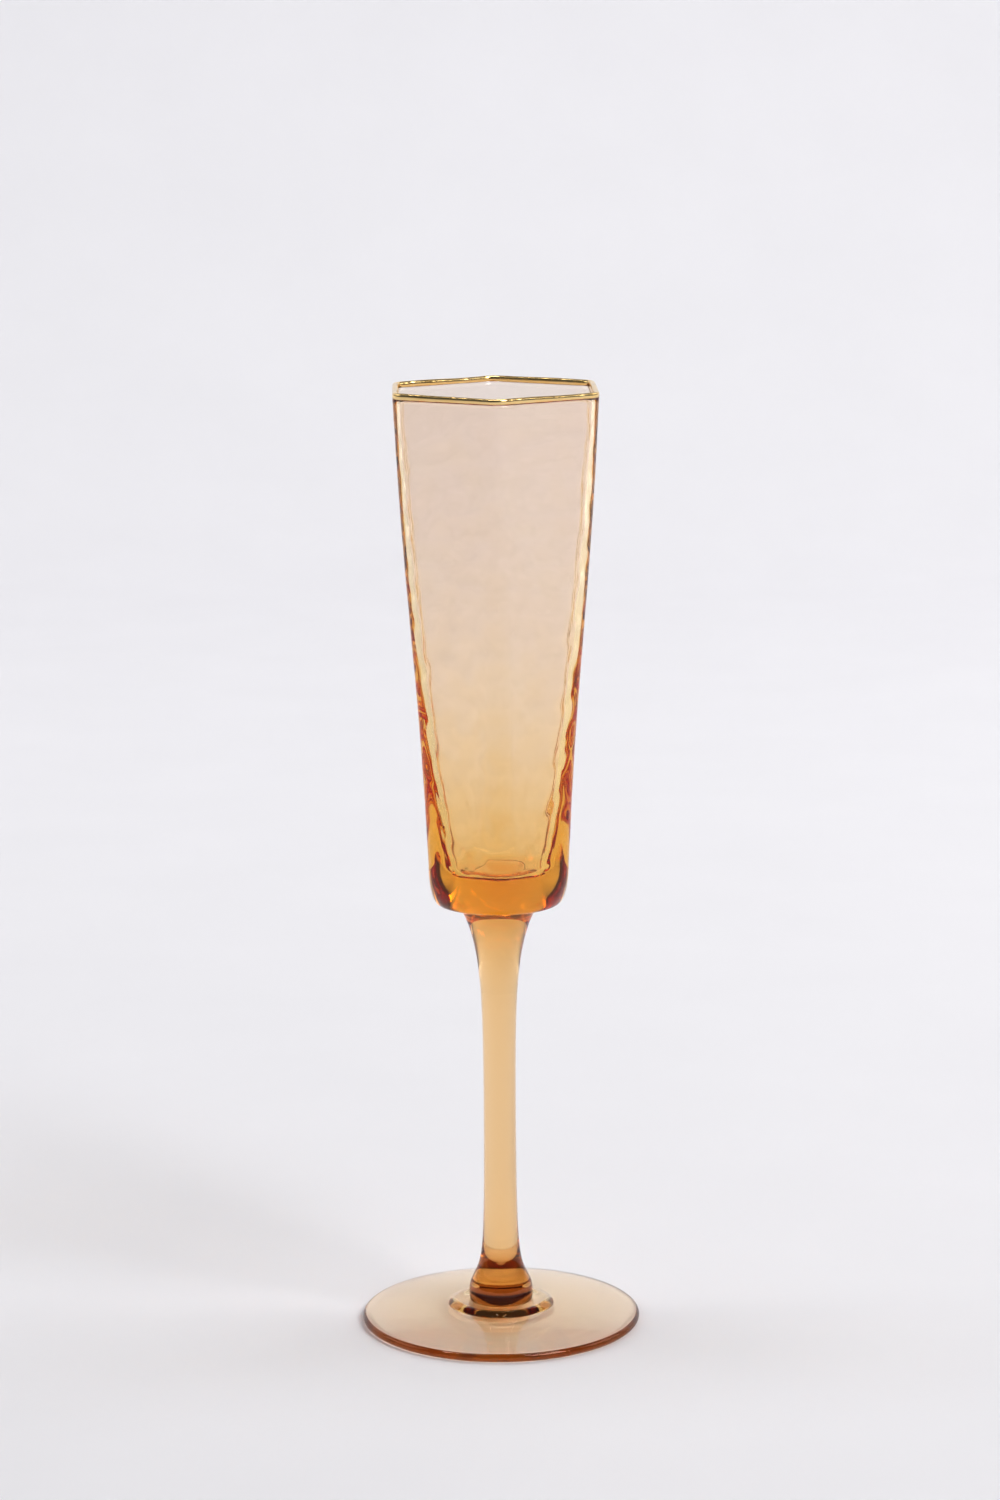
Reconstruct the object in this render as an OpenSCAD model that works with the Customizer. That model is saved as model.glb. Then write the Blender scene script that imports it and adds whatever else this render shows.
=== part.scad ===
// Champagne flute: a six-sided bowl on a solid drawn stem, a low round foot,
// and a gold band fired over the lip. Millimetres, +Z up.
// The origin is on the table, on the stem's axis. One corner of the bowl points
// along -Y, so two of its flats face +X and -X.
// Bowl, stem and foot are separate gathers of glass that are fused hot, so they
// meet face to face. The band meets the lip face to face too.

/* [Overall] */
// Height from the table to the top of the gold band
total_h = 240; // [230:1:250]
// Number of sides drawn on each round surface
round_sides = 96; // [48:12:144]

/* [Bowl] */
// Height of the bowl's underside above the table
bowl_z = 109.7; // [104:0.1:114]
// Width across the flats at the lip
lip_flats = 50.6; // [47:0.2:54]
// Width across the flats just above the rounded base
base_flats = 35.1; // [33:0.1:38]
// How far the walls bow, in low down and out high up, as a share of their flare
wall_bow = 0.042; // [0:0.002:0.06]
// Radius of the six upright corners at the lip
lip_corner_r = 4.7; // [3.5:0.1:6]
// Radius of the six upright corners just above the rounded base
base_corner_r = 5.6; // [4.5:0.1:8]
// Width of the curve that rounds the bowl's base
base_round_w = 2.4; // [1.6:0.1:3.2]
// Height of the curve that rounds the bowl's base
base_round_h = 11.4; // [9:0.1:12]

/* [Cavity] */
// Thickness of the wall at the lip
lip_wall = 1.5; // [1.2:0.1:2]
// Thickness of the wall just above the rounded base
low_wall = 6.2; // [5:0.1:6.6]
// Height over which the wall's thickening towards the base fades by a factor of 2.72
thin_h = 26; // [20:1:32]
// Thickness of the solid glass under the cavity
floor_t = 8.3; // [7.5:0.1:10]
// Width of the curve between the cavity's walls and its floor
floor_round_w = 2.5; // [1.5:0.1:3]
// Height of the curve between the cavity's walls and its floor
floor_round_h = 3; // [2:0.1:4]
// Radius of the cavity's six upright corners at its floor
floor_corner_r = 7; // [4:0.5:7.5]

/* [Gold band] */
// Height of the gold band, measured down from its top
band_h = 1.6; // [1.4:0.1:2.2]
// Thickness of the gold band
band_t = 0.2; // [0.15:0.05:0.3]

/* [Stem] */
// Diameter of the stem at its thinnest
waist_d = 7.96; // [7.2:0.02:8.8]
// Diameter of the stem where it meets the bowl
top_d = 20.9; // [18:0.1:23]
// Height over which the stem's upper flare grows by a factor of 2.72
top_flare_h = 10.3; // [8:0.1:12]
// Diameter of the knop, the swelling at the stem's foot
knop_d = 16.3; // [15:0.1:18]
// Height of the knop's widest point above the table
knop_z = 7.2; // [6.8:0.1:8]
// Width of the curve that rounds the knop's side
knop_round_w = 1.4; // [1:0.1:1.6]
// Height of the curve that rounds the knop's side
knop_round_h = 4.2; // [3.6:0.1:4.6]
// Angle off upright of the cone that stands on the knop
knop_lean = 26; // [22:1:28]
// Height at which that cone gives way to the stem's long lower flare
cone_top_z = 13.2; // [12.4:0.1:14]

/* [Foot] */
// Diameter of the foot
foot_d = 71; // [66:0.5:78]
// Thickness of the foot at its rounded edge
foot_edge_t = 2.1; // [1.8:0.1:2.6]
// Height of the foot's domed top where it meets the collar
crown_z = 4.4; // [3.8:0.1:4.6]
// Diameter of the collar, the low ring that rises around the knop
collar_d = 26.8; // [25:0.1:30]
// Diameter of the collar's crest
crest_d = 21.4; // [20:0.1:23]
// Height of the collar's crest above the table
crest_z = 5.4; // [5.2:0.05:5.8]
// Height of the seat on which the stem stands
seat_z = 5.2; // [5:0.1:5.5]
// Width of the flat ring that touches the table
rest_w = 1.5; // [1:0.1:3]
// Depth of the hollow under the foot
hollow_h = 1.3; // [0.8:0.1:1.6]

/* [Hidden] */

amber = [0.93, 0.68, 0.38, 0.6];
gold = [0.83, 0.66, 0.24];

// Points on half of one side of the hexagon, and levels on each stretch of wall
side_steps = 5;
wall_steps = 12;
curve_steps = 6;
lip_steps = 6;
stem_steps = 48;
foot_steps = 12;

wall_z = bowl_z + base_round_h;
floor_z = bowl_z + floor_t;
cavity_wall_z = floor_z + floor_round_h;
lip_r = lip_wall / 2;
lip_z = total_h - lip_r;
band_z = total_h - band_h;

// Directions from the axis to the points of one level, closer together at the
// corners, which lie at 30 degrees and every 60 degrees from there.
half_side = [for (i = [0 : side_steps]) 30 * pow(i / side_steps, 1.5)];
directions = [
    for (corner = [30 : 60 : 330])
        each concat(
            [for (i = [side_steps : -1 : 1]) corner - half_side[i]],
            [for (i = [0 : side_steps - 1]) corner + half_side[i]]
        )
];
level_points = len(directions);

// How far up the wall a height is, from 0 above the rounded base to 1 at the top
function rise(z) = (z - wall_z) / (total_h - wall_z);

function outer_flat(z) =
    base_flats / 2 + (lip_flats - base_flats) / 2
        * (rise(z) - wall_bow * sin(360 * rise(z)));

function outer_corner(z) = base_corner_r + (lip_corner_r - base_corner_r) * rise(z);

function wall_at(z) = lip_wall + (low_wall - lip_wall) * exp((wall_z - z) / thin_h);

// A level is a rounded hexagon: distance to its flats, corner radius, height.
// This one is the outer wall's, moved inwards by inset.
function wall_level(z, inset = 0) = [outer_flat(z) - inset, outer_corner(z) - inset, z];

// The cavity's level. Its corners grow rounder from the band down to the floor.
function cavity_level(z) =
    let (
        flat = outer_flat(z) - wall_at(z),
        band_corner = outer_corner(band_z) - wall_at(band_z),
        depth = (band_z - z) / (band_z - floor_z)
    )
    [flat, min(flat, band_corner + (floor_corner_r - band_corner) * depth), z];

// Distance from the axis to a level's outline in one direction
function outline(level, direction) =
    let (
        flat = level[0],
        corner = level[1],
        off = abs(direction % 60 - 30),
        core = (flat - corner) / cos(30),
        arc_end = 30 - atan(core * sin(30) / flat)
    )
    off > arc_end
        ? flat / cos(30 - off)
        : core * cos(off) + sqrt(pow(corner, 2) - pow(core * sin(off), 2));

function level_ring(level) = [
    for (a = directions) let (r = outline(level, a)) [r * cos(a), r * sin(a), level[2]]
];

// Skins over a stack of levels. A closed loop joins the last level to the first;
// a stack ends in a flat fan of triangles, around a point on the axis, at each end.
module level_stack(levels, loop = false) {
    last = len(levels) - 1;
    bottom = len(levels) * level_points;
    top = bottom + 1;
    sides = [
        for (k = [0 : loop ? last : last - 1], i = [0 : level_points - 1])
            let (
                next_i = (i + 1) % level_points,
                next_k = (k + 1) % len(levels),
                a = k * level_points + i,
                b = k * level_points + next_i,
                c = next_k * level_points + next_i,
                d = next_k * level_points + i
            )
            each [[a, d, c], [a, c, b]]
    ];
    ends = [
        for (i = [0 : level_points - 1])
            let (next_i = (i + 1) % level_points, up = last * level_points)
            each [[bottom, i, next_i], [top, up + next_i, up + i]]
    ];
    rings = [for (level = levels) each level_ring(level)];
    axis_points = [[0, 0, levels[0][2]], [0, 0, levels[last][2]]];
    if (loop)
        polyhedron(rings, sides);
    else
        polyhedron(concat(rings, axis_points), concat(sides, ends));
}

// Half circle over the lip, a distance inside the band's outer face
function lip_curve(inset) = [
    for (a = [0 : 180 / lip_steps : 180])
        wall_level(
            lip_z + (lip_r - inset) * sin(a),
            lip_r - (lip_r - inset) * cos(a)
        )
];

// From the edge of the underside up the rounded base, which turns from a circle
// into the hexagon of the wall
base_levels = [
    for (a = [90 : -90 / curve_steps : 0])
        let (
            flat = outer_flat(wall_z) - base_round_w * (1 - cos(a)),
            share = base_corner_r / outer_flat(wall_z)
        )
        [flat, flat * (share + (1 - share) * pow(sin(a), 2)), wall_z - base_round_h * sin(a)]
];

outer_levels = [
    for (i = [1 : wall_steps]) wall_level(wall_z + (band_z - wall_z) * i / wall_steps)
];

cavity_levels = [
    for (i = [0 : wall_steps]) cavity_level(band_z + (cavity_wall_z - band_z) * i / wall_steps)
];

floor_levels = [
    for (a = [90 / curve_steps : 90 / curve_steps : 90])
        let (
            top = cavity_level(cavity_wall_z),
            flat = top[0] - floor_round_w * (1 - cos(a))
        )
        [flat, min(flat, top[1]), cavity_wall_z - floor_round_h * sin(a)]
];

module bowl() {
    color(amber)
        level_stack(concat(
            base_levels,
            outer_levels,
            [wall_level(band_z, band_t)],
            lip_curve(band_t),
            [wall_level(band_z, wall_at(band_z) - band_t)],
            cavity_levels,
            floor_levels
        ));
}

module gold_band() {
    outside = concat(
        [wall_level(band_z)],
        lip_curve(0),
        [wall_level(band_z, wall_at(band_z))]
    );
    inside = concat(
        [wall_level(band_z, wall_at(band_z) - band_t)],
        [for (i = [lip_steps : -1 : 0]) lip_curve(band_t)[i]],
        [wall_level(band_z, band_t)]
    );
    color(gold) level_stack(concat(outside, inside), loop = true);
}

// The knop's side is part of an ellipse. It ends where it leans in by knop_lean,
// and a straight cone goes on at that angle. Above the cone the stem narrows to
// its waist as an inverse square, and widens to the bowl as an exponential.
waist_r = waist_d / 2;
knop_slope = tan(knop_lean);
knop_top_angle = atan(knop_slope * knop_round_h / knop_round_w);
knop_foot_angle = asin((seat_z - knop_z) / knop_round_h);

function knop_point(angle) = [
    knop_d / 2 - knop_round_w * (1 - cos(angle)),
    knop_z + knop_round_h * sin(angle)
];

knop_top = knop_point(knop_top_angle);
knop_foot_r = knop_point(knop_foot_angle)[0];
low_flare = knop_top[0] - knop_slope * (cone_top_z - knop_top[1]) - waist_r;
low_flare_h = low_flare / knop_slope;

// Shares of the two flares that are left at a height, 1 where each is widest
function low_share(z) = 1 / pow(1 + (z - cone_top_z) / (2 * low_flare_h), 2);
function top_share(z) = exp((z - bowl_z) / top_flare_h);

top_flare = top_d / 2 - waist_r - low_flare * low_share(bowl_z);

function stem_r(z) = waist_r + low_flare * low_share(z) + top_flare * top_share(z);

knop_side = [
    for (i = [0 : curve_steps])
        knop_point(knop_foot_angle + (knop_top_angle - knop_foot_angle) * i / curve_steps)
];

stem_side = [
    for (i = [0 : stem_steps])
        let (z = cone_top_z + (bowl_z - cone_top_z) * i / stem_steps)
        [stem_r(z), z]
];

module stem() {
    color(amber)
        rotate_extrude($fn = round_sides)
            polygon(concat([[0, seat_z]], knop_side, stem_side, [[0, bowl_z]]));
}

// The foot's edge is a half circle. Its underside is a shallow dish inside the
// flat ring, and its top a dome of nearly the same curve. The collar rises from
// the dome in a quarter wave to its crest, and dips in a half wave to the seat.
foot_edge_r = foot_edge_t / 2;
rest_outer_r = foot_d / 2 - foot_edge_r;
rest_inner_r = rest_outer_r - rest_w;
collar_r = collar_d / 2;
crest_r = crest_d / 2;

function dome_z(r) =
    foot_edge_t + (crown_z - foot_edge_t)
        * (pow(rest_outer_r, 2) - pow(r, 2)) / (pow(rest_outer_r, 2) - pow(collar_r, 2));

underside = [
    for (i = [0 : foot_steps])
        let (r = rest_inner_r * i / foot_steps)
        [r, hollow_h * (1 - pow(r / rest_inner_r, 2))]
];

foot_edge = [
    for (a = [-90 : 180 / foot_steps : 90])
        [rest_outer_r + foot_edge_r * cos(a), foot_edge_r + foot_edge_r * sin(a)]
];

dome = [
    for (i = [1 : foot_steps - 1])
        let (r = rest_outer_r + (collar_r - rest_outer_r) * i / foot_steps)
        [r, dome_z(r)]
];

collar = [
    for (i = [0 : curve_steps])
        let (along = i / curve_steps)
        [collar_r + (crest_r - collar_r) * along, crown_z + (crest_z - crown_z) * sin(90 * along)]
];

crest = [
    for (i = [1 : curve_steps])
        let (along = i / curve_steps)
        [
            crest_r + (knop_foot_r - crest_r) * along,
            seat_z + (crest_z - seat_z) * (1 + cos(180 * along)) / 2
        ]
];

module foot() {
    color(amber)
        rotate_extrude($fn = round_sides)
            polygon(concat(underside, foot_edge, dome, collar, crest, [[0, seat_z]]));
}

bowl();
gold_band();
stem();
foot();
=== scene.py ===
"""The looks of a hexagonal champagne flute in clear amber glass with a gold band.

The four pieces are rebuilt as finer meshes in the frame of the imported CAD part.
Lengths are in millimetres until a mesh is made, and in metres from there on.
"""

import math

import bpy
import numpy as np
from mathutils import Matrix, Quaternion, Vector


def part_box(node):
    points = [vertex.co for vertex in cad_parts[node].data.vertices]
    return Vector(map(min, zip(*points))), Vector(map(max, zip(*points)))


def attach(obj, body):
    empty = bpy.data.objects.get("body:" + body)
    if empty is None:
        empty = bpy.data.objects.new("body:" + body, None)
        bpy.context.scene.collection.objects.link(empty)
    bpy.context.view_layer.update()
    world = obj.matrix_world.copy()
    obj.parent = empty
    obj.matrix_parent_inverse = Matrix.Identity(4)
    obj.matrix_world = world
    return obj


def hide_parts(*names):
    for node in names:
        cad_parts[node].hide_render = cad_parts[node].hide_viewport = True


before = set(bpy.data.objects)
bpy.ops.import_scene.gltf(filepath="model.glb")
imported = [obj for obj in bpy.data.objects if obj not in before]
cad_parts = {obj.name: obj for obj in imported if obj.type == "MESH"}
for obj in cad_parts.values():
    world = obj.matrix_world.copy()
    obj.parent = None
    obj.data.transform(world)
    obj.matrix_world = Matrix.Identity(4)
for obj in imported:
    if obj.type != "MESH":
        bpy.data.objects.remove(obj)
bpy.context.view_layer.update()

MM = 0.001


def node_box(node):
    """Lowest and highest corner of a CAD node, in millimetres."""
    low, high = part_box(node)
    return [round(v / MM, 3) for v in low], [round(v / MM, 3) for v in high]


bowl_low, bowl_high = node_box("bowl")
band_low, band_high = node_box("gold_band")
stem_low, stem_high = node_box("stem")
foot_low, foot_high = node_box("foot")

# Heights and radii that the CAD part gives
TOTAL_H = band_high[2]
BAND_Z = band_low[2]
BOWL_Z = bowl_low[2]
SEAT_Z = stem_low[2]
STEM_TOP_R = stem_high[0]
FOOT_R = foot_high[0]
CREST_Z = foot_high[2]

# The rest of the bowl's shape, as in part.scad
LIP_FLAT = 25.3
BASE_FLAT = 17.55
WALL_BOW = 0.042
LIP_CORNER_R = 4.7
BASE_CORNER_R = 5.6
BASE_ROUND_W = 2.4
BASE_ROUND_H = 11.4
LIP_WALL = 1.5
LOW_WALL = 6.2
THIN_H = 26
FLOOR_T = 8.3
FLOOR_ROUND_W = 2.5
FLOOR_ROUND_H = 3
FLOOR_CORNER_R = 7
BAND_T = 0.2

# The rest of the stem's and the foot's shape
WAIST_R = 3.98
TOP_FLARE_H = 10.3
KNOP_R = 8.15
KNOP_Z = 7.2
KNOP_ROUND_W = 1.4
KNOP_ROUND_H = 4.2
KNOP_LEAN = math.radians(26)
CONE_TOP_Z = 13.2
FOOT_EDGE_R = 1.05
CROWN_Z = 4.4
COLLAR_R = 13.4
CREST_R = 10.7
REST_W = 1.5
HOLLOW_H = 1.3

# The closed faces of a fused joint are this far apart, so that they don't coincide
JOINT_GAP = 0.02
# Gap between the band and the glass under it
BAND_GAP = 0.01
# How far the lip dips at its lowest
LIP_SAG = 0.35
# Waves round the lip that set where it dips: height, count and phase of each
LIP_WAVES = ((0.5, 2, 0.7), (0.3, 5, 2.1), (0.2, 9, 0))

# Hammering: distances between dimples and between rows, and the share of the
# spacing by which a dimple may be off its place
DIMPLE_SPACING = 7.0
DIMPLE_ROW = 0.87 * DIMPLE_SPACING
DIMPLE_JITTER = 0.35
# Each dimple goes from 0 in its middle to its ridges. The wall stays put at the
# mean, and ridges are cut off at the most.
DIMPLE_MEAN = 0.6
DIMPLE_MOST = 1.6
RIDGE_SHARPNESS = 4.0
# Depths just above the base and at the lip
OUTER_DEPTHS = (0.035, 0.02)
INNER_DEPTHS = (0.26, 0.1)
OUTER_SEED = 3
INNER_SEED = 11
# The hammering fades out over these heights at the ends of a stretch
FADE_LOW_H = 3
FADE_HIGH_H = 6

# Mesh density
SIDE_STEPS = 16
WALL_STEPS = 110
ROUND_STEPS = 20
LIP_STEPS = 12
STEM_SIDES = 160
STEM_STEPS = 160
KNOP_STEPS = 23
FOOT_SIDES = 224
UNDERSIDE_STEPS = 59
EDGE_STEPS = 27
DOME_STEPS = 39
COLLAR_STEPS = 17
CREST_STEPS = 13

WALL_Z = BOWL_Z + BASE_ROUND_H
FLOOR_Z = BOWL_Z + FLOOR_T
CAVITY_WALL_Z = FLOOR_Z + FLOOR_ROUND_H
LIP_R = LIP_WALL / 2
LIP_Z = TOTAL_H - LIP_R


# ---------------------------------------------------------------- meshes


def new_object(name, points, faces):
    mesh = bpy.data.meshes.new(name)
    mesh.from_pydata((np.asarray(points) * MM).tolist(), [], faces)
    mesh.update()
    mesh.shade_smooth()
    obj = bpy.data.objects.new(name, mesh)
    bpy.context.scene.collection.objects.link(obj)
    return obj


def skin(rings, loop=False):
    """Points and faces of a skin over a stack of rings, closed at its ends by fans."""
    count, sides, _ = rings.shape
    points = rings.reshape(-1, 3).tolist()
    faces = []
    for k in range(count if loop else count - 1):
        low, high = k * sides, (k + 1) % count * sides
        for i in range(sides):
            j = (i + 1) % sides
            faces.append((low + i, low + j, high + j, high + i))
    if not loop:
        last = (count - 1) * sides
        for start, flip in ((0, True), (last, False)):
            points.append([0, 0, points[start][2]])
            hub = len(points) - 1
            for i in range(sides):
                a, b = start + i, start + (i + 1) % sides
                faces.append((hub, b, a) if flip else (hub, a, b))
    return points, faces


def lathe(profile, sides):
    """Rings of a round piece, from a list of (radius, height)."""
    turn = np.linspace(0, 2 * math.pi, sides, endpoint=False)
    return np.array(
        [np.stack([r * np.cos(turn), r * np.sin(turn), np.full(sides, z)], 1)
         for r, z in profile]
    )


# ---------------------------------------------------------------- bowl and band


def rise(z):
    """How far up the wall a height is, from 0 above the rounded base to 1 at the top."""
    return (z - WALL_Z) / (TOTAL_H - WALL_Z)


def outer_flat(z):
    up = rise(z)
    return BASE_FLAT + (LIP_FLAT - BASE_FLAT) * (up - WALL_BOW * math.sin(2 * math.pi * up))


def outer_corner(z):
    return BASE_CORNER_R + (LIP_CORNER_R - BASE_CORNER_R) * rise(z)


def wall_at(z):
    return LIP_WALL + (LOW_WALL - LIP_WALL) * math.exp((WALL_Z - z) / THIN_H)


def wall_level(z, inset=0.0):
    """A rounded hexagon: distance to its flats, corner radius and height."""
    return outer_flat(z) - inset, outer_corner(z) - inset, z


def cavity_level(z):
    """The cavity's level. Its corners grow rounder from the band down to the floor."""
    flat = outer_flat(z) - wall_at(z)
    band_corner = outer_corner(BAND_Z) - wall_at(BAND_Z)
    depth = (BAND_Z - z) / (BAND_Z - FLOOR_Z)
    return flat, min(flat, band_corner + (FLOOR_CORNER_R - band_corner) * depth), z


# Directions from the axis, closer together at the corners of the hexagon
half_side = 30 * np.linspace(0, 1, SIDE_STEPS + 1) ** 1.5
directions = np.concatenate(
    [np.concatenate([corner - half_side[:0:-1], corner + half_side[:-1]])
     for corner in range(30, 360, 60)]
)


def level_ring(level):
    """The points of a level, one in each direction."""
    flat, corner, z = level
    off = np.abs(directions % 60 - 30)
    core = (flat - corner) / math.cos(math.radians(30))
    arc_end = 30 - math.degrees(math.atan(core * 0.5 / flat))
    side_r = flat / np.cos(np.radians(30 - off))
    off = np.radians(off)
    arc_r = core * np.cos(off) + np.sqrt(np.maximum(corner**2 - (core * np.sin(off)) ** 2, 0))
    r = np.where(np.degrees(off) > arc_end, side_r, arc_r)
    turn = np.radians(directions)
    return np.stack([r * np.cos(turn), r * np.sin(turn), np.full(len(turn), z)], 1)


def lip_curve(inset, steps):
    """Half circle over the lip, a distance inside the band's outer face."""
    return [
        wall_level(LIP_Z + (LIP_R - inset) * math.sin(a), LIP_R - (LIP_R - inset) * math.cos(a))
        for a in np.linspace(0, math.pi, steps + 1)
    ]


def base_levels():
    """From the circle of the underside up the rounded base to the wall."""
    share = BASE_CORNER_R / outer_flat(WALL_Z)
    levels = []
    for a in np.linspace(math.pi / 2, 0, ROUND_STEPS + 1):
        flat = outer_flat(WALL_Z) - BASE_ROUND_W * (1 - math.cos(a))
        corner = flat * (share + (1 - share) * math.sin(a) ** 2)
        levels.append((flat, corner, WALL_Z - BASE_ROUND_H * math.sin(a)))
    return levels


def floor_levels():
    """From the cavity's wall down its rounded edge to the flat of its floor."""
    top = cavity_level(CAVITY_WALL_Z)
    levels = []
    for a in np.linspace(0, math.pi / 2, ROUND_STEPS + 1)[1:]:
        flat = top[0] - FLOOR_ROUND_W * (1 - math.cos(a))
        levels.append((flat, min(flat, top[1]), CAVITY_WALL_Z - FLOOR_ROUND_H * math.sin(a)))
    return levels


def wall_r(z):
    """Radius of the round body that the dimples are spread over."""
    return outer_flat(min(max(z, WALL_Z), TOTAL_H))


def dimple_centres(seed):
    """Rows of points round the wall, staggered and then shifted at random."""
    draw = np.random.default_rng(seed)
    below, above = 8, 6
    centres = []
    for row, z in enumerate(np.arange(WALL_Z - below, TOTAL_H + above, DIMPLE_ROW)):
        r = wall_r(z)
        count = int(2 * math.pi * r / DIMPLE_SPACING)
        for i in range(count):
            place = i + 0.5 * (row % 2) + draw.uniform(-DIMPLE_JITTER, DIMPLE_JITTER)
            turn = 2 * math.pi * place / count
            shift = draw.uniform(-DIMPLE_JITTER, DIMPLE_JITTER) * DIMPLE_SPACING
            centres.append((r * math.cos(turn), r * math.sin(turn), z + shift))
    return np.array(centres)


def dimples(points, seed):
    """0 in the middle of each hammered dimple, about 1 on the ridges between them."""
    centres = dimple_centres(seed)
    r = np.array([wall_r(z) for z in points[:, 2]])
    turn = np.arctan2(points[:, 1], points[:, 0])
    spread = np.stack([r * np.cos(turn), r * np.sin(turn), points[:, 2]], 1)
    # A few thousand points at a time, to save memory
    batch = 4000
    field = np.zeros(len(points))
    for start in range(0, len(points), batch):
        part = spread[start:start + batch]
        d2 = ((part[:, None, :] - centres[None]) ** 2).sum(2) / (DIMPLE_SPACING / 2) ** 2
        nearest = d2.min(1, keepdims=True)
        blend = np.exp(-RIDGE_SHARPNESS * (d2 - nearest)).sum(1)
        field[start:start + batch] = nearest[:, 0] - np.log(blend) / RIDGE_SHARPNESS
    return np.clip(field, 0, DIMPLE_MOST)


def hammer(rings, depths, seed, outwards):
    """Moves rings in and out by the dimples, fading out at both ends of the stretch."""
    points = rings.reshape(-1, 3)
    z = points[:, 2]
    low, high = depths
    depth = low + (high - low) * np.clip(rise(z), 0, 1)
    depth = depth * np.clip((z.max() - z) / FADE_HIGH_H, 0, 1)
    depth = depth * np.clip((z - z.min()) / FADE_LOW_H, 0, 1)
    away = points * (1, 1, 0)
    away /= np.linalg.norm(away, axis=1, keepdims=True)
    lift = (dimples(points, seed) - DIMPLE_MEAN) * depth * outwards
    return (points + away * lift[:, None]).reshape(rings.shape)


def settle_lip(rings):
    """Lowers the lip a little here and there, as on a hand-finished rim."""
    turn = np.arctan2(rings[..., 1], rings[..., 0])
    sway = sum(size * np.sin(count * turn + phase) for size, count, phase in LIP_WAVES)
    share = np.clip((rings[..., 2] - BAND_Z) / (TOTAL_H - BAND_Z), 0, 1)
    rings[..., 2] -= LIP_SAG * (1 - sway / sway.max()) / 2 * share
    return rings


def make_bowl():
    """The bowl, with its lip cut back under the band."""
    rebate = BAND_T + BAND_GAP
    shoulder_z = BAND_Z - BAND_GAP
    base = base_levels()
    outside = [wall_level(z) for z in np.linspace(WALL_Z, shoulder_z, WALL_STEPS + 1)[1:]]
    lip = (
        [wall_level(shoulder_z, rebate)]
        + lip_curve(rebate, LIP_STEPS)
        + [wall_level(shoulder_z, wall_at(BAND_Z) - rebate)]
    )
    inside = [cavity_level(z) for z in np.linspace(shoulder_z, CAVITY_WALL_Z, WALL_STEPS + 1)]
    inside += floor_levels()
    base = np.array([level_ring(level) for level in base])
    outside = np.array([level_ring(level) for level in outside])
    lip = np.array([level_ring(level) for level in lip])
    inside = np.array([level_ring(level) for level in inside])
    outside = hammer(outside, OUTER_DEPTHS, OUTER_SEED, 1)
    inside = hammer(inside, INNER_DEPTHS, INNER_SEED, -1)
    joint = joint_ring(base[0], STEM_TOP_R)
    points, faces = skin(settle_lip(np.concatenate([joint, base, outside, lip, inside])))
    return new_object("flute_bowl", points, faces)


def joint_ring(edge, r):
    """The outline of the fused joint on the flat underside, which edge surrounds."""
    turn = np.arctan2(edge[:, 1], edge[:, 0])
    return np.stack([r * np.cos(turn), r * np.sin(turn), edge[:, 2]], 1)[None]


def make_band():
    """The gold band, a closed shell over the lip."""
    outside = [wall_level(BAND_Z)] + lip_curve(0, LIP_STEPS)
    outside.append(wall_level(BAND_Z, wall_at(BAND_Z)))
    inside = [wall_level(BAND_Z, wall_at(BAND_Z) - BAND_T)]
    inside += lip_curve(BAND_T, LIP_STEPS)[::-1]
    inside.append(wall_level(BAND_Z, BAND_T))
    rings = np.array([level_ring(level) for level in outside + inside])
    points, faces = skin(settle_lip(rings), loop=True)
    return new_object("flute_gold_band", points, faces)


# ---------------------------------------------------------------- stem and foot


def knop_point(angle):
    r = KNOP_R - KNOP_ROUND_W * (1 - math.cos(angle))
    return r, KNOP_Z + KNOP_ROUND_H * math.sin(angle)


def stem_profile():
    """Up the knop and its cone, then the long lower flare and the flare to the bowl."""
    slope = math.tan(KNOP_LEAN)
    top_angle = math.atan(slope * KNOP_ROUND_H / KNOP_ROUND_W)
    foot_angle = math.asin((SEAT_Z - KNOP_Z) / KNOP_ROUND_H)
    knop_top = knop_point(top_angle)
    low_flare = knop_top[0] - slope * (CONE_TOP_Z - knop_top[1]) - WAIST_R
    low_flare_h = low_flare / slope

    def low_share(z):
        return 1 / (1 + (z - CONE_TOP_Z) / (2 * low_flare_h)) ** 2

    top_flare = STEM_TOP_R - WAIST_R - low_flare * low_share(BOWL_Z)
    profile = [knop_point(a) for a in np.linspace(foot_angle, top_angle, KNOP_STEPS + 1)]
    for z in np.linspace(CONE_TOP_Z, BOWL_Z, STEM_STEPS):
        top_share = math.exp((z - BOWL_Z) / TOP_FLARE_H)
        profile.append((WAIST_R + low_flare * low_share(z) + top_flare * top_share, z))
    return profile


def make_stem():
    profile = stem_profile()
    profile[0] = (profile[0][0], SEAT_Z + JOINT_GAP)
    profile[-1] = (profile[-1][0], BOWL_Z - JOINT_GAP)
    points, faces = skin(lathe(profile, STEM_SIDES))
    return new_object("flute_stem", points, faces)


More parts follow.
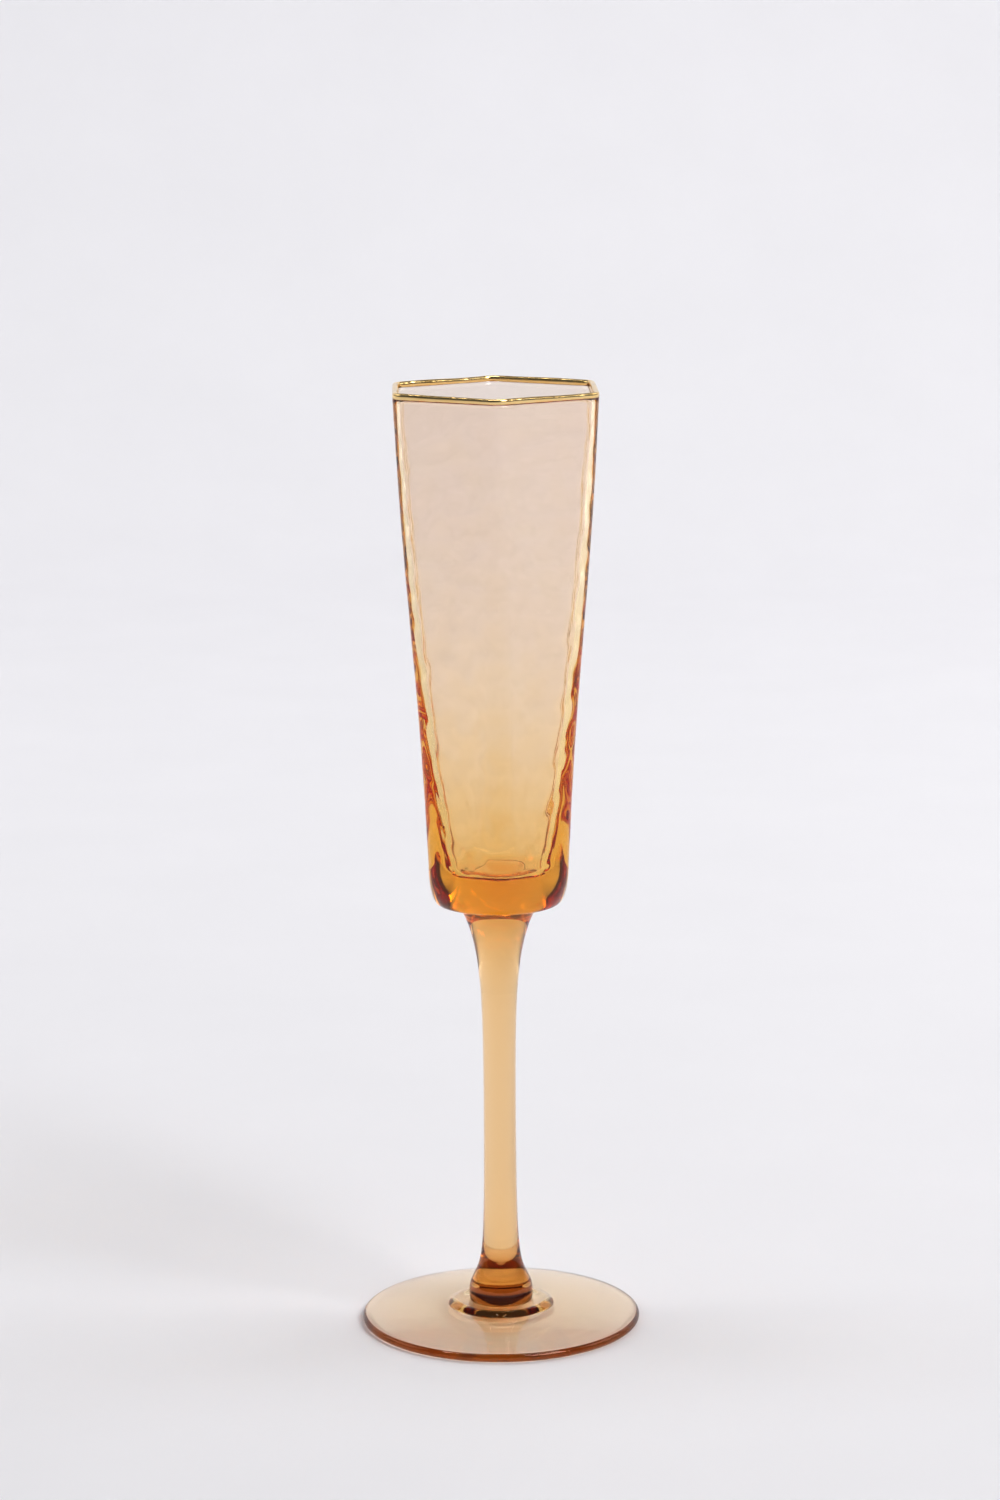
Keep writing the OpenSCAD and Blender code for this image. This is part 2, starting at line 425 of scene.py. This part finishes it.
def foot_profile():
    """From the hollow round the edge, over the dome and the collar, to the seat."""
    edge_r = FOOT_R - FOOT_EDGE_R
    rest_r = edge_r - REST_W
    seat_r = stem_profile()[0][0]
    edge_t = 2 * FOOT_EDGE_R
    underside = [
        (r, HOLLOW_H * (1 - (r / rest_r) ** 2))
        for r in np.linspace(0, rest_r, UNDERSIDE_STEPS + 1)[1:]
    ]
    edge = [
        (edge_r + FOOT_EDGE_R * math.cos(a), FOOT_EDGE_R + FOOT_EDGE_R * math.sin(a))
        for a in np.linspace(-math.pi / 2, math.pi / 2, EDGE_STEPS + 1)
    ]
    dome = [
        (r, edge_t + (CROWN_Z - edge_t) * (edge_r**2 - r**2) / (edge_r**2 - COLLAR_R**2))
        for r in np.linspace(edge_r, COLLAR_R, DOME_STEPS + 1)[1:-1]
    ]
    collar = [
        (COLLAR_R + (CREST_R - COLLAR_R) * t,
         CROWN_Z + (CREST_Z - CROWN_Z) * math.sin(math.pi / 2 * t))
        for t in np.linspace(0, 1, COLLAR_STEPS + 1)
    ]
    crest = [
        (CREST_R + (seat_r - CREST_R) * t,
         SEAT_Z + (CREST_Z - SEAT_Z) * (1 + math.cos(math.pi * t)) / 2)
        for t in np.linspace(0, 1, CREST_STEPS + 1)[1:]
    ]
    return underside + edge + dome + collar + crest


def make_foot():
    points, faces = skin(lathe(foot_profile(), FOOT_SIDES))
    return new_object("flute_foot", points, faces)


def mark_faces(obj, name, height, r):
    """Sets an attribute to 1 on the level faces at a height, within a radius."""
    mesh = obj.data
    layer = mesh.attributes.get(name) or mesh.attributes.new(name, "FLOAT", "FACE")
    height_slack, level_normal = 0.001, 0.99
    for face in mesh.polygons:
        centre = face.center / MM
        level = abs(centre.z - height) < height_slack and abs(face.normal.z) > level_normal
        if level and math.hypot(centre.x, centre.y) < r:
            layer.data[face.index].value = 1.0


# ---------------------------------------------------------------- materials

GLASS_IOR = 1.5
# Light lost in each millimetre of glass, for R, G and B
BOWL_ABSORB = (0.0045, 0.031, 0.118)
STEM_ABSORB = (0.007, 0.043, 0.125)
FOOT_ABSORB = (0.012, 0.032, 0.08)
# The two colours between which each glass surface varies
BOWL_TINTS = ((1.0, 0.94, 0.995), (1.0, 0.955, 1.0))
STEM_TINTS = ((1.0, 0.94, 0.99), (1.0, 0.955, 1.0))
FOOT_TINTS = ((1.0, 0.955, 0.945), (1.0, 0.97, 0.96))
# Painted shade at the joint between the stem and the foot: a darker colour that stands in for
# the shadowed floor seen through the knop
SEAM_SHADE_COLOR = (0.6, 0.46, 0.36)
# The streaks' noise, and the strength of the ripples that they give the surface
STREAK_SCALE = 60.0
STREAK_DETAIL = 2.0
RIPPLE = 0.02
# The stem's streaks are drawn out along it
EVEN = (1, 1, 1)
DRAWN_OUT = (1, 1, 0.1)

GOLD_COLORS = ((0.9, 0.6, 0.22), (1.0, 0.79, 0.44))
GOLD_ROUGHNESS = (0.1, 0.25)
GOLD_BUMP = 0.6
PAPER_COLORS = ((0.8, 0.792, 0.815), (0.83, 0.822, 0.845))


def new_material(name):
    material = bpy.data.materials.new(name)
    material.use_nodes = True
    tree = material.node_tree
    return material, tree, tree.nodes["Principled BSDF"]


def add_noise(tree, scale, detail, stretch=EVEN):
    """Noise over the object's own coordinates."""
    place = tree.nodes.new("ShaderNodeTexCoord")
    mapping = tree.nodes.new("ShaderNodeMapping")
    mapping.inputs["Scale"].default_value = stretch
    noise = tree.nodes.new("ShaderNodeTexNoise")
    noise.inputs["Scale"].default_value = scale
    noise.inputs["Detail"].default_value = detail
    tree.links.new(place.outputs["Object"], mapping.inputs["Vector"])
    tree.links.new(mapping.outputs["Vector"], noise.inputs["Vector"])
    return noise


def add_mix(tree, factor, first, second):
    """A colour between first and second. Each is a colour or another node's output."""
    mix = tree.nodes.new("ShaderNodeMix")
    mix.data_type = "RGBA"
    factor_in, first_in, second_in, color_out = 0, 6, 7, 2
    for socket, color in ((first_in, first), (second_in, second)):
        if isinstance(color, tuple):
            mix.inputs[socket].default_value = (*color, 1)
        else:
            tree.links.new(color, mix.inputs[socket])
    tree.links.new(factor, mix.inputs[factor_in])
    return mix.outputs[color_out]


def add_range(tree, value, low, high):
    """Turns a value from 0 to 1 into one from low to high."""
    scale = tree.nodes.new("ShaderNodeMapRange")
    scale.inputs["To Min"].default_value = low
    scale.inputs["To Max"].default_value = high
    tree.links.new(value, scale.inputs["Value"])
    return scale.outputs["Result"]


def add_attribute(tree, name):
    attribute = tree.nodes.new("ShaderNodeAttribute")
    attribute.attribute_name = name
    return attribute.outputs["Fac"]


def add_bump(tree, height, strength):
    bump = tree.nodes.new("ShaderNodeBump")
    bump.inputs["Strength"].default_value = strength
    bump.inputs["Distance"].default_value = MM
    tree.links.new(height, bump.inputs["Height"])
    return bump.outputs["Normal"]


def make_glass(name, absorb, tints, stretch=EVEN):
    """Clear glass that absorbs by depth and takes a darker colour at a marked joint, painted
    shade that stands in for shadow.

    At a fused joint light passes straight through it.
    """
    material, tree, shader = new_material(name)
    shader.inputs["Roughness"].default_value = 0.0
    shader.inputs["IOR"].default_value = GLASS_IOR
    shader.inputs["Transmission Weight"].default_value = 1.0
    streaks = add_noise(tree, STREAK_SCALE, STREAK_DETAIL, stretch).outputs["Fac"]
    # Marked faces take the darker colour, painted shade in place of shadow
    color = add_mix(
        tree, add_attribute(tree, "shade_seam"), add_mix(tree, streaks, *tints), SEAM_SHADE_COLOR
    )
    tree.links.new(color, shader.inputs["Base Color"])
    tree.links.new(add_bump(tree, streaks, RIPPLE), shader.inputs["Normal"])
    ior = add_range(tree, add_attribute(tree, "fused"), GLASS_IOR, 1.0)
    tree.links.new(ior, shader.inputs["IOR"])
    densest = max(absorb)
    volume = tree.nodes.new("ShaderNodeVolumeAbsorption")
    volume.inputs["Color"].default_value = (*(1 - a / densest for a in absorb), 1)
    volume.inputs["Density"].default_value = densest / MM
    tree.links.new(volume.outputs["Volume"], tree.nodes["Material Output"].inputs["Volume"])
    return material


def make_gold(name):
    """Polished gold with fine wear in its colour and gloss, and a brushed unevenness."""
    material, tree, shader = new_material(name)
    shader.inputs["Metallic"].default_value = 1.0
    wear = add_noise(tree, scale=220.0, detail=4.0).outputs["Fac"]
    brush = add_noise(tree, scale=90.0, detail=3.0).outputs["Fac"]
    tree.links.new(add_mix(tree, wear, *GOLD_COLORS), shader.inputs["Base Color"])
    tree.links.new(add_range(tree, wear, *GOLD_ROUGHNESS), shader.inputs["Roughness"])
    tree.links.new(add_bump(tree, brush, GOLD_BUMP), shader.inputs["Normal"])
    return material


def make_paper(name):
    """The pale matt paper of the floor."""
    material, tree, shader = new_material(name)
    shader.inputs["Roughness"].default_value = 0.85
    shader.inputs["Specular IOR Level"].default_value = 0.2
    fibre = add_noise(tree, scale=14.0, detail=5.0).outputs["Fac"]
    tree.links.new(add_mix(tree, fibre, *PAPER_COLORS), shader.inputs["Base Color"])
    return material


# ---------------------------------------------------------------- studio

# The sweep, in millimetres
SWEEP_BELOW = 0.2
SWEEP_NEAR = -6000
SWEEP_HALF_W = 6000
SWEEP_BEND_Y = 1200
SWEEP_BEND_R = 500
SWEEP_TOP = 1500
SWEEP_FLOOR_STEPS = 19
SWEEP_BEND_STEPS = 23
SWEEP_WIDE_STEPS = 12

WORLD_COLOR = (0.92, 0.96, 1.0)
WORLD_STRENGTH = 0.12


def make_sweep():
    """A floor that curves up into a wall behind the flute, a hair below its foot."""
    floor_y = np.linspace(SWEEP_NEAR, SWEEP_BEND_Y, SWEEP_FLOOR_STEPS + 1)
    profile = [(y, -SWEEP_BELOW) for y in floor_y]
    profile += [
        (SWEEP_BEND_Y + SWEEP_BEND_R * math.sin(a),
         SWEEP_BEND_R * (1 - math.cos(a)) - SWEEP_BELOW)
        for a in np.linspace(0, math.pi / 2, SWEEP_BEND_STEPS + 1)[1:]
    ]
    profile.append((SWEEP_BEND_Y + SWEEP_BEND_R, SWEEP_TOP))
    across = np.linspace(-SWEEP_HALF_W, SWEEP_HALF_W, SWEEP_WIDE_STEPS + 1)
    points = [(x, y, z) for y, z in profile for x in across]
    wide = len(across)
    faces = [
        (k * wide + i, k * wide + i + 1, (k + 1) * wide + i + 1, (k + 1) * wide + i)
        for k in range(len(profile) - 1)
        for i in range(wide - 1)
    ]
    return new_object("studio_sweep", points, faces)


def add_light(name, place, target, width, height, power, color=(1, 1, 1), spread=180):
    """A soft rectangular light, in metres, watts and degrees."""
    light = bpy.data.lights.new(name, "AREA")
    light.shape = "RECTANGLE"
    light.size = width
    light.size_y = height
    light.energy = power
    light.color = color
    light.spread = math.radians(spread)
    obj = bpy.data.objects.new(name, light)
    obj.location = place
    obj.rotation_euler = (Vector(target) - Vector(place)).to_track_quat("-Z", "Y").to_euler()
    bpy.context.scene.collection.objects.link(obj)


def set_world(color, strength):
    world = bpy.data.worlds.new("studio")
    bpy.context.scene.world = world
    world.use_nodes = True
    background = world.node_tree.nodes["Background"]
    background.inputs["Color"].default_value = (*color, 1)
    background.inputs["Strength"].default_value = strength


def set_camera(distance, height, azimuth, pitch, roll, shift_x):
    """A 100 mm lens that looks down at the flute, in metres and degrees."""
    camera = bpy.data.cameras.new("camera")
    camera.lens = 100
    camera.sensor_width = 36
    camera.shift_x = shift_x
    obj = bpy.data.objects.new("camera", camera)
    turn = math.radians(azimuth)
    obj.location = (distance * math.sin(turn), -distance * math.cos(turn), height)
    aim = Vector((-math.sin(turn), math.cos(turn), -math.tan(math.radians(pitch))))
    facing = Quaternion(aim.normalized(), math.radians(roll)) @ aim.to_track_quat("-Z", "Y")
    obj.rotation_euler = facing.to_euler()
    bpy.context.scene.collection.objects.link(obj)
    bpy.context.scene.camera = obj


# ---------------------------------------------------------------- assembly

bowl = make_bowl()
band = make_band()
stem = make_stem()
foot = make_foot()

# Both joints are fused, and the one over the foot also gets a darker colour, painted shade
mark_faces(bowl, "fused", BOWL_Z, STEM_TOP_R)
mark_faces(stem, "fused", BOWL_Z - JOINT_GAP, STEM_TOP_R)
for name in ("fused", "shade_seam"):
    mark_faces(stem, name, SEAT_Z + JOINT_GAP, STEM_TOP_R)
    mark_faces(foot, name, SEAT_Z, stem_profile()[0][0])

bowl_glass = make_glass("amber_bowl", BOWL_ABSORB, BOWL_TINTS)
stem_glass = make_glass("amber_stem", STEM_ABSORB, STEM_TINTS, DRAWN_OUT)
foot_glass = make_glass("amber_foot", FOOT_ABSORB, FOOT_TINTS)
gold = make_gold("gold_lustre")

for piece, node, material in (
    (bowl, "bowl", bowl_glass),
    (band, "gold_band", gold),
    (stem, "stem", stem_glass),
    (foot, "foot", foot_glass),
):
    piece.data.materials.append(material)
    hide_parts(node)
    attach(piece, "root")

sweep = make_sweep()
sweep.data.materials.append(make_paper("pale_paper"))

add_light(
    "right", place=(1.7, 0.6, 1.3), target=(0.2, 1.1, 0.1),
    width=1.6, height=1.2, power=9.5, color=(1, 0.995, 0.99),
)
add_light(
    "left", place=(-1.7, 0.6, 1.3), target=(-0.2, 1.1, 0.1),
    width=1.6, height=1.2, power=7.3, color=(0.99, 0.995, 1),
)
add_light(
    "back", place=(0, 0.3, 2.3), target=(0, 1.7, 0.5),
    width=2.0, height=0.6, power=30,
)
add_light(
    "front", place=(1.1, -1.0, 1.6), target=(0, -0.2, 0),
    width=1.0, height=1.0, power=22, color=(1, 0.99, 0.98),
)
# These two light the floor that shows through the sides of the bowl's base
for side, name in ((-1, "floor_left"), (1, "floor_right")):
    add_light(
        name, place=(1.5 * side, 0.75, 1.0), target=(1.5 * side, 0.75, 0),
        width=0.8, height=0.8, power=2.5, spread=100,
    )
set_world(WORLD_COLOR, WORLD_STRENGTH)
set_camera(distance=1.02468, height=0.3478, azimuth=-1.2, pitch=10.998, roll=0.4, shift_x=0.0018)

# A steep tone curve, no clamping or blurring of the light that passes through
# glass, and enough bounces for light that is shut in by thick glass
light_bounces = 40
scene = bpy.context.scene
scene.view_settings.view_transform = "Standard"
scene.view_settings.gamma = 0.85
scene.cycles.sample_clamp_indirect = 0
scene.cycles.blur_glossy = 0
scene.cycles.max_bounces = light_bounces
scene.cycles.transmission_bounces = light_bounces
scene.cycles.glossy_bounces = light_bounces
